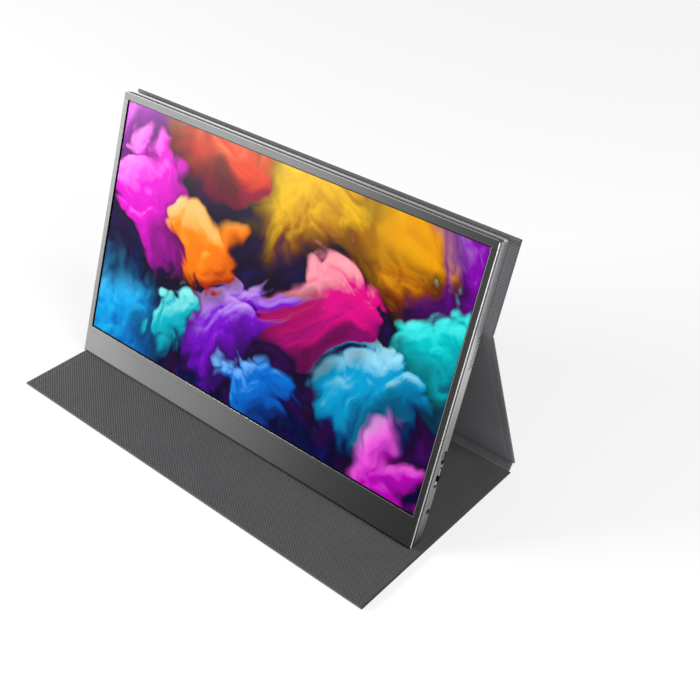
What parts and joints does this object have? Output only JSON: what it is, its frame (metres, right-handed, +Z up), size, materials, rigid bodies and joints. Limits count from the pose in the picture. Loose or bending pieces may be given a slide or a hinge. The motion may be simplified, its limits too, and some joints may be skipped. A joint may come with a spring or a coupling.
{
  "type": "portable monitor with cover",
  "caption": "Slim portable monitor held by magnets on a cloth folio cover that folds into a stand, with side ports, speaker grilles and keys.",
  "frame": {"origin": "on the table, under the middle of the standing part", "axes": "+X to the viewer's right along the screen's width, +Y away from the viewer, +Z up"},
  "size_m": [0.364, 0.1814, 0.2165],
  "materials": {
    "bezel_metal": "brushed",
    "shell_metal": "satin",
    "screen": "glossy picture under glass",
    "film": "clear",
    "sheet_steel": "plain",
    "port_metal": "bright",
    "board_green": "solder mask",
    "flex_amber": "film",
    "black_plastic": "matt",
    "lead_red": "matt",
    "clear_light": "clear",
    "key_metal": "satin",
    "cover_cloth": "fine twill",
    "lining_cloth": "fine twill",
    "stiffener": "pressed board",
    "magnet": "nickel"
  },
  "bodies": {
    "base": {"base_outer": "cover_cloth", "base_board": "stiffener", "base_lining": "lining_cloth", "base_magnets": "magnet"},
    "spine": {"spine_strip": "cover_cloth"},
    "strut": {"strut_outer": "cover_cloth", "strut_board": "stiffener", "strut_lining": "lining_cloth"},
    "attach": {"attach_outer": "cover_cloth", "attach_board": "stiffener", "attach_lining": "lining_cloth", "attach_magnets": "magnet"},
    "monitor": {"front_bezel": "bezel_metal", "chin_plate": "bezel_metal", "parting_gasket": "black_plastic", "rear_shell": "shell_metal", "lcd_tape": "black_plastic", "lcd_cell": "screen", "optical_films": "film", "light_guide": "film", "led_strip": "clear_light", "reflector_sheet": "film", "lcd_tray": "sheet_steel", "panel_driver_board": "board_green", "panel_flex_tails": "flex_amber", "display_cable": "black_plastic", "board_insulator": "black_plastic", "main_board": "board_green", "board_chips": "black_plastic", "chip_shield": "sheet_steel", "board_screws": "sheet_steel", "usb_c_port": "port_metal", "hdmi_port": "port_metal", "audio_jack": "black_plastic", "status_light": "clear_light", "speaker_right": "black_plastic", "speaker_left": "black_plastic", "speaker_leads": "lead_red", "button_board": "board_green", "button_lead": "flex_amber", "keeper_plates": "sheet_steel", "foot_keeper": "sheet_steel"},
    "power_key": {"power_button": "key_metal"},
    "menu_key": {"menu_rocker": "key_metal"}
  },
  "joints": [
    {"name": "spine_fold", "type": "hinge", "parent": "base", "child": "spine", "pos_m": [0, 0.08574, 0.0012], "axis": [-1, 0, 0], "range_deg": [0, 55.01]},
    {"name": "strut_fold", "type": "hinge", "parent": "spine", "child": "strut", "pos_m": [0, 0.08946, 0.00652], "axis": [-1, 0, 0], "range_deg": [0, 55.04]},
    {"name": "attach_fold", "type": "hinge", "parent": "strut", "child": "attach", "pos_m": [0, 0.03656, 0.15154], "axis": [1, 0, 0], "range_deg": [0, 39.45]},
    {"name": "monitor_release", "type": "slide", "parent": "attach", "child": "monitor", "axis": [0, -0.9432, 0.3322], "range_m": [0, 0.04]},
    {"name": "power_press", "type": "slide", "parent": "monitor", "child": "power_key", "axis": [1, 0, 0], "range_m": [0, 0.0004], "stiffness_N_per_m": 800},
    {"name": "menu_rock", "type": "hinge", "parent": "monitor", "child": "menu_key", "pos_m": [-0.1762, -0.00206, 0.05965], "axis": [0, 0.9432, -0.3322], "range_deg": [-2.5, 2.5], "stiffness_Nm_per_rad": 0.2}
  ],
  "couplings": [
    {"joint": "spine_fold", "follows": "strut_fold", "ratio": 0.9992},
    {"joint": "attach_fold", "follows": "strut_fold", "ratio": 0.71659}
  ]
}
